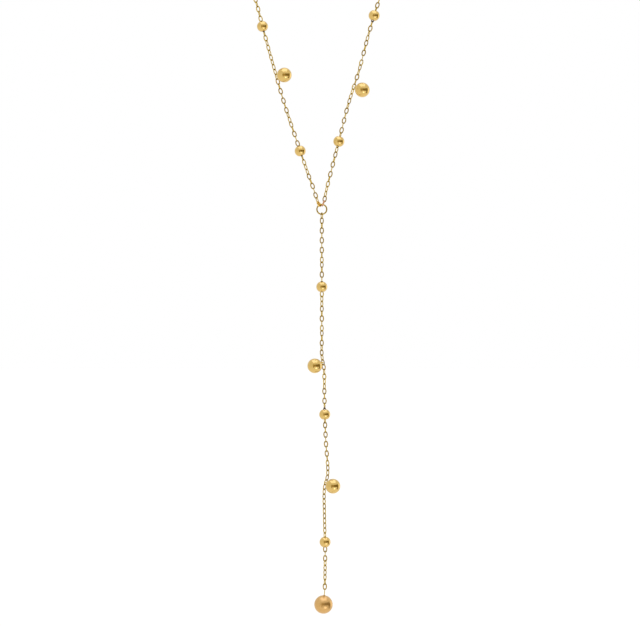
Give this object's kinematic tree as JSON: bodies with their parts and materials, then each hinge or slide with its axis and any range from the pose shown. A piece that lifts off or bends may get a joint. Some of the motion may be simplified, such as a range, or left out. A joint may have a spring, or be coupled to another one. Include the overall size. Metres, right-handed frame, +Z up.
{
  "type": "y necklace",
  "caption": "Fine trace chain closed round the neck, with round beads and hanging balls, joined at a small ring to a free drop that ends in a larger ball.",
  "frame": {"origin": "middle of the clasp, at the nape, where the necklace hangs on the neck", "axes": "+Z up along the hanging drop, -Y to the front of the wearer, +X to the right as seen from the front"},
  "size_m": [0.106, 0.1091, 0.2156],
  "materials": {
    "gold_plate": "polished gold plate",
    "chain_gold": "bright gold plated wire"
  },
  "bodies": {
    "necklace": {"y_ring": "gold_plate", "left_chain": "chain_gold", "right_chain": "chain_gold", "drop_chain": "chain_gold", "left_neck_chain": "chain_gold", "right_neck_chain": "chain_gold", "left_bead_1": "gold_plate", "left_bead_2": "gold_plate", "right_bead_1": "gold_plate", "right_bead_2": "gold_plate", "drop_bead_1": "gold_plate", "drop_bead_2": "gold_plate", "drop_bead_3": "gold_plate", "left_hanging_ball": "gold_plate", "right_hanging_ball": "gold_plate", "drop_hanging_ball_1": "gold_plate", "drop_hanging_ball_2": "gold_plate", "clasp": "gold_plate"},
    "end_drop": {"end_ball": "gold_plate"}
  },
  "joints": [
    {"name": "end_ball_swing", "type": "hinge", "parent": "necklace", "child": "end_drop", "pos_m": [0.0008, -0.104, -0.20786], "axis": [1, 0, 0], "range_deg": [-60, 60]}
  ]
}
